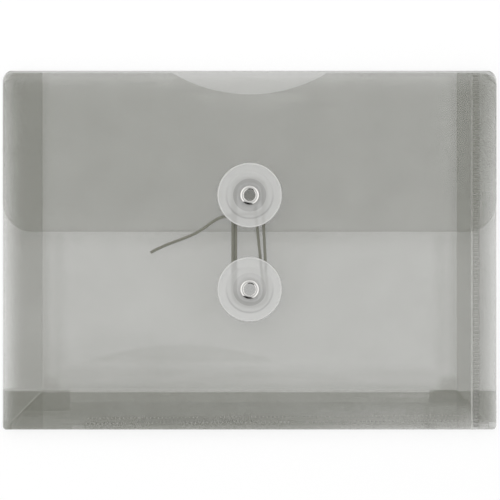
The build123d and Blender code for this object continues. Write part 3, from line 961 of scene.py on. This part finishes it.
def frosted_finish(name, centre_y, boss_top):
    """Frosted white plastic: denser at the rim, greyer over the moulded ring and over the boss below it.
    The ring has painted shade on its lower side.
    """
    material, wire, shader = new_finish(name)
    place, x, y = place_of(wire)
    r = radius_from(x, y, centre_y)
    rim = r.rise(11.8, 12.2)
    # Painted shade: the moulded ring is darker on its lower side.
    ring = r.band(8.9, 0.6) * (centre_y - y).rise(-6.0, 6.0)
    boss = r.rise(6.5, 6.2) * (centre_y + boss_top - y).rise(-2.5, 2.5)
    cloud, grain = place.noise(260.0, 2.0), place.noise(2400.0)
    bump = wire.node("ShaderNodeBump", None, {"Strength": 0.1, "Distance": 0.00002, "Height": grain})
    colour = (0.12 * cloud + 0.45 * ring + 0.30 * boss).tint((0.90, 0.90, 0.885, 1), (0.42, 0.42, 0.41, 1))
    outer = 0.06 * r.rise(6.2, 6.6) - 0.02 * r.rise(8.7, 9.3)
    fill(shader, Base_Color=colour, Alpha=0.31 + outer + 0.04 * cloud + 0.38 * rim,
         Roughness=0.36 + 0.1 * grain, Normal=bump)
    return material


clear_washer, wire, shader = new_finish("clear_washer")
place = wire.node("ShaderNodeTexCoord", output="Object")
fill(shader, Base_Color=place.noise(300.0).tint((0.66, 0.66, 0.64, 1), (0.76, 0.76, 0.74, 1)),
     Alpha=0.12 + 0.05 * place.noise(900.0), Roughness=0.4)

nickel, wire, shader = new_finish("bright_nickel")
place = wire.node("ShaderNodeTexCoord", output="Object")
wear = place.noise(900.0, 3.0)
fill(shader, Base_Color=wear.tint((0.80, 0.79, 0.77, 1), (0.90, 0.89, 0.87, 1)), Metallic=1.0,
     Roughness=0.06 + 0.10 * wear)
print("button finishes ready")

# %% Buttons
DISC_RADIUS, DISC_THICK, HUB_RADIUS, HUB_TALL = 12.45, 0.9, 4.6, 3.7
FLOAT, WASHER_RADIUS, WASHER_THICK = 0.05, 9.0, 0.35
RIM_ROUND, HUB_WAIST, CHAMFER = 0.3, 0.12, 0.1
DISC_FACE = [
    (12.15, 0), (11.9, 0.04), (11.65, 0.12), (9.5, 0.20), (9.2, 0.16), (8.8, 0.03), (8.4, 0),
    (4.9, 0.02), (4.3, 0.10), (3.9, 0.30), (EYELET_BORE, 0.30),
]
EYELET_INSIDE, EYELET_OUTSIDE, FLANGE_RADIUS, FLANGE_SEAT = 2.1, 2.5, 3.5, 0.26
ROLL_INNER, ROLL_CREST, ROLL_OUTER = 2.12, 2.66, 3.75
ROLL_FOOT, ROLL_TALL = -0.14, 0.52
CLINCH_THICK = 0.25


def disc_profile(low, top):
    """The disc: flat below and round at the rim, with a ring and the eyelet's dish in its face."""
    rim = [(DISC_RADIUS - RIM_ROUND + RIM_ROUND * sin(a), low + DISC_THICK / 2 * (1 - cos(a)))
           for a in (pi * k / 6 for k in range(6))]
    return [(EYELET_BORE, low)] + rim + [(r, top - depth) for r, depth in DISC_FACE]


def hub_profile(base, low):
    """The hub: a short post with a slight waist for the string."""
    waist = HUB_RADIUS - HUB_WAIST
    return [(EYELET_BORE, base), (HUB_RADIUS, base), (HUB_RADIUS, base + 0.5), (waist, base + 1.2),
            (waist, low - 0.9), (HUB_RADIUS, low - 0.3), (HUB_RADIUS, low), (EYELET_BORE, low)]


def washer_profile(top):
    """The washer: a flat ring with its outer edges taken off."""
    base, rim = top - WASHER_THICK, WASHER_RADIUS - CHAMFER
    return [(EYELET_BORE, top), (rim, top), (WASHER_RADIUS, top - CHAMFER),
            (WASHER_RADIUS, base + CHAMFER), (rim, base), (EYELET_BORE, base)]


def eyelet_profile(top, clinch):
    """The eyelet: its seat on the disc, the rolled flange, the bore and the clinched end."""
    seat, roll, end = top - FLANGE_SEAT, top + ROLL_FOOT, clinch - CLINCH_THICK
    flange = []
    for d in range(0, 181, 9):
        reach = ROLL_OUTER - ROLL_CREST if d < 90 else ROLL_CREST - ROLL_INNER
        flange.append((ROLL_CREST + reach * cos(radians(d)), roll + ROLL_TALL * sin(radians(d))))
    bore = [(EYELET_INSIDE, seat), (EYELET_INSIDE, top - DISC_THICK), (EYELET_INSIDE, clinch - 0.1)]
    clinched = [(2.3, end), (3.3, end), (FLANGE_RADIUS, clinch - 0.15), (FLANGE_RADIUS, clinch),
                (EYELET_OUTSIDE, clinch)]
    return [(EYELET_OUTSIDE, seat), (FLANGE_RADIUS, seat)] + flange + bore + clinched


for side, centre_y, film_top, boss_top in (("flap", FLAP_BUTTON_Y, FLAP_BASE + FILM, DISC_RADIUS),
                                           ("front", FRONT_BUTTON_Y, FRONT_TOP, -1.0)):
    body = f"{side}_button"
    frosted = frosted_finish(f"frosted_disc_{side}", centre_y, boss_top)
    hub_base, washer_top = film_top + FLOAT, film_top - FILM - FLOAT
    low, clinch = hub_base + HUB_TALL, washer_top - WASHER_THICK
    top = low + DISC_THICK
    disc = turned(f"{side}_disc", disc_profile(low, top), centre_y, frosted)
    hub = turned(f"{side}_hub", hub_profile(hub_base, low), centre_y, frosted)
    washer = turned(f"{side}_washer", washer_profile(washer_top), centre_y, clear_washer)
    eyelet = turned(f"{side}_eyelet", eyelet_profile(top, clinch), centre_y, nickel)
    for piece, node, slot in ((disc, "button_disc", "frosted_disc"), (hub, "button_hub", "frosted_disc"),
                              (washer, "backing_washer", "clear_washer"),
                              (eyelet, "button_eyelet", "nickel")):
        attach(piece, body)
        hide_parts(f"{side}_{node}")
    print(side, "button:", [len(p.data.polygons) for p in (disc, hub, washer, eyelet)], "faces")

# %% [markdown]
# ## The string
# The string is a soft grey cord of three twisted plies, 1 mm thick. A bevelled curve would be smooth
# like wire. Here each ply is a tube that winds round the string's own line, so that the twist is really
# there. Its finish reads a map along and round each ply, for the fibres.

# %% The string
PLIES, TWIST, RING_STEP, RING_SIDES = 3, 3.4, 0.3, 8
PLY_RADIUS, PLY_OFFSET = 0.33, 0.27

along = [0.0]
for a, b in zip(string_line, string_line[1:]):
    along.append(along[-1] + (b - a).length)
ring_count = int(along[-1] / (RING_STEP * MM))
marks, at = [], 0
for i in range(ring_count + 1):
    goal = along[-1] * i / ring_count
    while at < len(along) - 2 and along[at + 1] < goal:
        at += 1
    share = (goal - along[at]) / (along[at + 1] - along[at])
    marks.append(string_line[at].lerp(string_line[at + 1], share))
ways = [(marks[min(i + 1, ring_count)] - marks[max(i - 1, 0)]).normalized() for i in range(ring_count + 1)]
side = ways[0].orthogonal().normalized()

bm = bmesh.new()
chart = bm.loops.layers.uv.new("UVMap")
rings = [[] for _ in range(PLIES)]
for i, (mark, way) in enumerate(zip(marks, ways)):
    side = (side - side.dot(way) * way).normalized()
    other = way.cross(side)
    for ply in range(PLIES):
        turn = 2 * pi * (i * RING_STEP / TWIST + ply / PLIES)
        out = side * cos(turn) + other * sin(turn)
        across = way.cross(out)
        middle = mark + out * PLY_OFFSET * MM
        rings[ply].append([bm.verts.new(middle + PLY_RADIUS * MM * (cos(a) * out + sin(a) * across))
                           for a in (2 * pi * k / RING_SIDES for k in range(RING_SIDES))])
for ply in rings:
    for i, (a, b) in enumerate(zip(ply, ply[1:])):
        for k in range(RING_SIDES):
            n = (k + 1) % RING_SIDES
            face = bm.faces.new((a[k], a[n], b[n], b[k]))
            face.smooth = True
            for loop, uv in zip(face.loops, ((i, k), (i, k + 1), (i + 1, k + 1), (i + 1, k))):
                loop[chart].uv = (uv[0] * RING_STEP * MM, uv[1] / RING_SIDES)
    bm.faces.new(list(reversed(ply[0])))
    bm.faces.new(ply[-1])
bmesh.ops.recalc_face_normals(bm, faces=bm.faces[:])

string_yarn, wire, shader = new_finish("grey_yarn")
chart_place = wire.node("ShaderNodeTexCoord", output="UV")
stretched = wire.node("ShaderNodeMapping", None, {"Vector": chart_place, "Scale": (700.0, 9.0, 1.0)})
fibre = stretched.noise(1.0, 3.0)
fibre_bump = wire.node("ShaderNodeBump", None, {"Strength": 0.5, "Distance": 0.00008, "Height": fibre})
fill(shader, Base_Color=fibre.tint((0.19, 0.19, 0.155, 1), (0.36, 0.36, 0.305, 1)), Roughness=0.85,
     Normal=fibre_bump)
string = add_piece("tie_string", bm, string_yarn)
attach(string, "flap")
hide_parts("string_winding", "string_tail")
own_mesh(string)
print("string:", len(string.data.polygons), "faces")

# %% [markdown]
# ## Floor and light
# The photograph has a plain white ground and soft light from above. One wide lamp and an even world give
# that at a plain level. The floor is pale and takes the object's shadow. It adds white only for what the
# camera, a reflection or a clear piece sees of it, so no extra light falls on the envelope. Reflections
# see a room of their own: a grey ceiling, a bright band round it and one dark side, which give the
# eyelets their bright rings and dark crescents. Many leaves of film lie behind each other here, so the
# paths may pass through more clear faces than usual.

# %% Light
scene.view_settings.view_transform = "Standard"
scene.cycles.transparent_max_bounces = 64


def seen_directly(wire):
    """1 for rays from the camera, from a reflection or through a clear piece, and 0 for light."""
    path = [wire.node("ShaderNodeLightPath", output=name) for name in
            ("Is Camera Ray", "Is Glossy Ray", "Is Transmission Ray")]
    return path[0].greater(path[1]).greater(path[2])


world = bpy.data.worlds.new("studio")
world.use_nodes = True
scene.world = world
sky = Wire(world.node_tree)
background = world.node_tree.nodes["Background"]
background.inputs["Color"].default_value = (1, 1, 1, 1)
AMBIENT = 0.5
CEILING, BAND, BAND_SIDES, DARKNESS = 0.56, 0.22, 0.36, 0.97
DARK_X, DARK_Y = -0.22, -0.975
way = sky.node("ShaderNodeTexCoord", output="Generated")
way_x, way_y, way_z = (sky.node("ShaderNodeSeparateXYZ", None, {0: way}, axis) for axis in "XYZ")
lit_band = way_z.rise(0.97, 0.92) * way_z.rise(0.38, 0.58)
shine = CEILING + lit_band * (BAND + BAND_SIDES * way_x.size().rise(0.15, 0.5))
to_dark, past_dark = DARK_X * way_x + DARK_Y * way_y, DARK_X * way_y - DARK_Y * way_x
dark_side = (to_dark - 1.2 * past_dark.size()).rise(0.12, 0.25)
dim_walls = 1 - shine * (1 - DARKNESS * dark_side)
dim_walls = dim_walls * sky.node("ShaderNodeLightPath", output="Is Glossy Ray")
strength = AMBIENT + (1 - AMBIENT) * seen_directly(sky) - dim_walls
sky.tree.links.new(strength.socket, background.inputs["Strength"])

lamp_data = bpy.data.lights.new("softbox", "AREA")
lamp_data.shape, lamp_data.size, lamp_data.energy = "SQUARE", 1.0, 5.0
lamp = bpy.data.objects.new("softbox", lamp_data)
lamp.location = (-0.15, 0.25, 0.95)
lamp.visible_glossy = False
lamp.rotation_euler = Vector(lamp.location).to_track_quat("Z", "Y").to_euler()
scene.collection.objects.link(lamp)
print("lamp", lamp_data.energy, "W, world", AMBIENT)

# %% Floor
floor_finish = bpy.data.materials.new("pale_floor")
floor_finish.use_nodes = True
floor_tree = floor_finish.node_tree
floor_tree.nodes.remove(floor_tree.nodes["Principled BSDF"])
floor_wire = Wire(floor_tree)
paint = floor_wire.node("ShaderNodeBsdfDiffuse", None, {"Color": (0.32, 0.32, 0.32, 1)})
_, x, y = place_of(floor_wire)
white = 0.73 + 0.11 * radius_from(x, y, 0).rise(300, 1600)
glow = floor_wire.node("ShaderNodeEmission", None, {"Strength": white * seen_directly(floor_wire)})
both = floor_wire.node("ShaderNodeAddShader", None, {0: paint, 1: glow})
floor_tree.links.new(both.socket, floor_tree.nodes["Material Output"].inputs["Surface"])
FLOOR_HALF, FLOOR_GAP = 4.0, 0.3
bm = bmesh.new()
bmesh.ops.create_grid(bm, x_segments=2, y_segments=2, size=FLOOR_HALF)
floor = add_piece("floor", bm, floor_finish)
for v in floor.data.vertices:
    v.co.z = -FLOOR_GAP * MM
print("floor", FLOOR_GAP, "mm below the envelope")

# %% [markdown]
# ## Size
# The dressed envelope is meant to stay inside the box of the CAD model. The CAD box is written down here.

# %% Size
print("CAD box", [[round(x * 1000, 2) for x in v] for v in cad_box])
